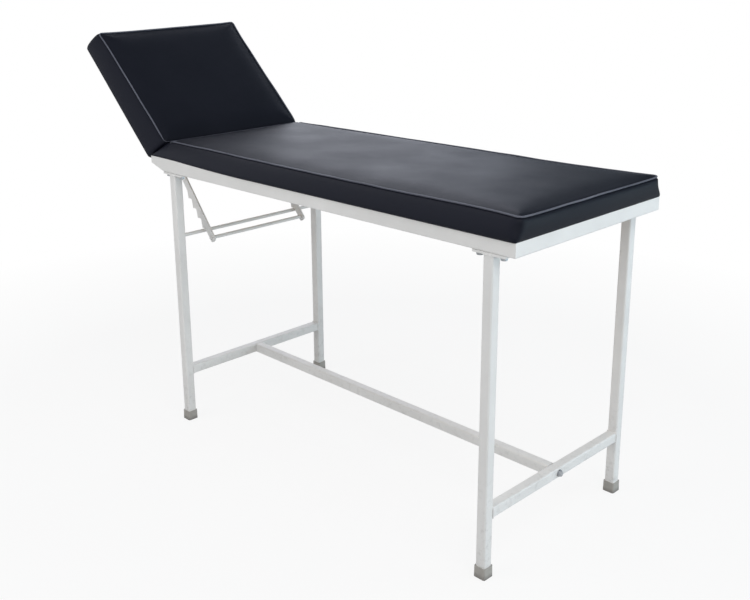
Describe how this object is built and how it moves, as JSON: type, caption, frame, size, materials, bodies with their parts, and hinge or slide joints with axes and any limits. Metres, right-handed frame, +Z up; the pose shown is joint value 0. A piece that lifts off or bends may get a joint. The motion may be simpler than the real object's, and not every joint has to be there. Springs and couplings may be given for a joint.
{
  "type": "examination table",
  "caption": "Padded examination table on four square-tube legs with a hinged head section that a notched prop holds up on a fixed rod.",
  "frame": {"origin": "middle of the whole table on the floor, with the head section raised as in the picture", "axes": "+Z up, +X towards the foot end, +Y towards the far long side"},
  "size_m": [1.5656, 0.5354, 1.0902],
  "materials": {
    "frame_paint": "white powder coat, slightly glossy",
    "fastener": "bright zinc plate",
    "hinge_steel": "zinc-plated steel",
    "cap_plastic": "matt grey-beige moulded plastic",
    "plywood": "bare birch plywood",
    "foam": "open-cell upholstery foam",
    "vinyl": "near-black navy vinyl with fine leather grain and soft sheen"
  },
  "bodies": {
    "frame": {"catch_rod": "frame_paint", "cross_bar_foot": "frame_paint", "cross_bar_head": "frame_paint", "flange_bolts": "fastener", "flange_washers": "fastener", "foot_cap_far_foot": "cap_plastic", "foot_cap_far_head": "cap_plastic", "foot_cap_near_foot": "cap_plastic", "foot_cap_near_head": "cap_plastic", "foot_end_rail": "frame_paint", "head_cross_rail": "frame_paint", "hinge_fixed_leaf_far": "hinge_steel", "hinge_fixed_leaf_near": "hinge_steel", "hinge_pin_far": "hinge_steel", "hinge_pin_near": "hinge_steel", "leg_far_foot": "frame_paint", "leg_far_head": "frame_paint", "leg_flange_far_foot": "frame_paint", "leg_flange_far_head": "frame_paint", "leg_flange_near_foot": "frame_paint", "leg_flange_near_head": "frame_paint", "leg_near_foot": "frame_paint", "leg_near_head": "frame_paint", "rail_nuts": "fastener", "seat_board": "plywood", "seat_board_screws": "fastener", "seat_cover": "vinyl", "seat_foam": "foam", "seat_slat_1": "frame_paint", "seat_slat_2": "frame_paint", "seat_slat_3": "frame_paint", "seat_slat_4": "frame_paint", "side_rail_far": "frame_paint", "side_rail_near": "frame_paint", "stretcher": "frame_paint", "stretcher_bolts": "fastener", "stretcher_end_plates": "frame_paint", "stretcher_washers": "fastener"},
    "head_section": {"bearer_screws": "fastener", "bearer_tie": "frame_paint", "head_bearer_far": "frame_paint", "head_bearer_near": "frame_paint", "head_board": "plywood", "head_cover": "vinyl", "head_foam": "foam", "hinge_bolts": "fastener", "hinge_moving_leaf_far": "hinge_steel", "hinge_moving_leaf_near": "hinge_steel", "hinge_nuts": "fastener", "prop_pin_far": "fastener", "prop_pin_near": "fastener", "prop_washer_far": "fastener", "prop_washer_near": "fastener"},
    "prop": {"prop_bar_far": "frame_paint", "prop_bar_near": "frame_paint", "prop_cross_rod": "frame_paint"}
  },
  "joints": [
    {"name": "head_raise", "type": "hinge", "parent": "frame", "child": "head_section", "pos_m": [-0.45715, 0, 0.75825], "axis": [0, 1, 0], "range_deg": [-43.5, 0]},
    {"name": "prop_swing", "type": "hinge", "parent": "head_section", "child": "prop", "pos_m": [-0.59094, 0, 0.84971], "axis": [0, 1, 0], "range_deg": [0, 17]}
  ],
  "couplings": [
    {"joint": "prop_swing", "follows": "head_raise", "ratio": -0.38}
  ]
}
